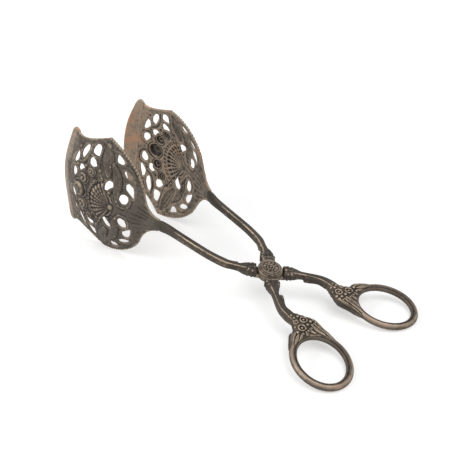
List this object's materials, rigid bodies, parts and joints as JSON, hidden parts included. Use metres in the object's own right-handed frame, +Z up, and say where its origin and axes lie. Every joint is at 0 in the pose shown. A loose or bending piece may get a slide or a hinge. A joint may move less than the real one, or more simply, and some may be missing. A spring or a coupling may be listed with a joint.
{
  "type": "bread tongs",
  "caption": "Scissor-action serving tongs with pierced, hollow scoops, crossing cast arms, a riveted pivot and finger rings, for lifting bread, rolls and cake.",
  "frame": {"origin": "on the table, under the middle of the tongs as they lie", "axes": "+X forward along the middle line from the finger rings to the scoops, +Z up from the table, +Y to the left"},
  "size_m": [0.241, 0.1006, 0.0874],
  "materials": {
    "pressed_plate": "dark tarnished silver plate on pressed sheet, worn brown on the lip and the raised ornament",
    "cast_plate": "dark tarnished silver plate on castings, brown on the ridges",
    "worn_plate": "silver plate rubbed thin by fingers, warm brown metal showing",
    "pivot_metal": "tarnished silver plate with dark recesses"
  },
  "bodies": {
    "lower_half": {"lower_scoop": "pressed_plate", "lower_arm": "cast_plate", "lower_flower_socket": "cast_plate", "lower_finger_ring": "worn_plate", "pivot_rivet": "pivot_metal", "pivot_washer": "pivot_metal", "pivot_rosette": "pivot_metal"},
    "upper_half": {"upper_scoop": "pressed_plate", "upper_arm": "cast_plate", "upper_flower_socket": "cast_plate", "upper_finger_ring": "worn_plate"}
  },
  "joints": [
    {"name": "pivot", "type": "hinge", "parent": "lower_half", "child": "upper_half", "pos_m": [-0.03798, 0, 0.0201], "axis": [-0.2217, 0, 0.9751], "range_deg": [-28, 17.5]}
  ]
}
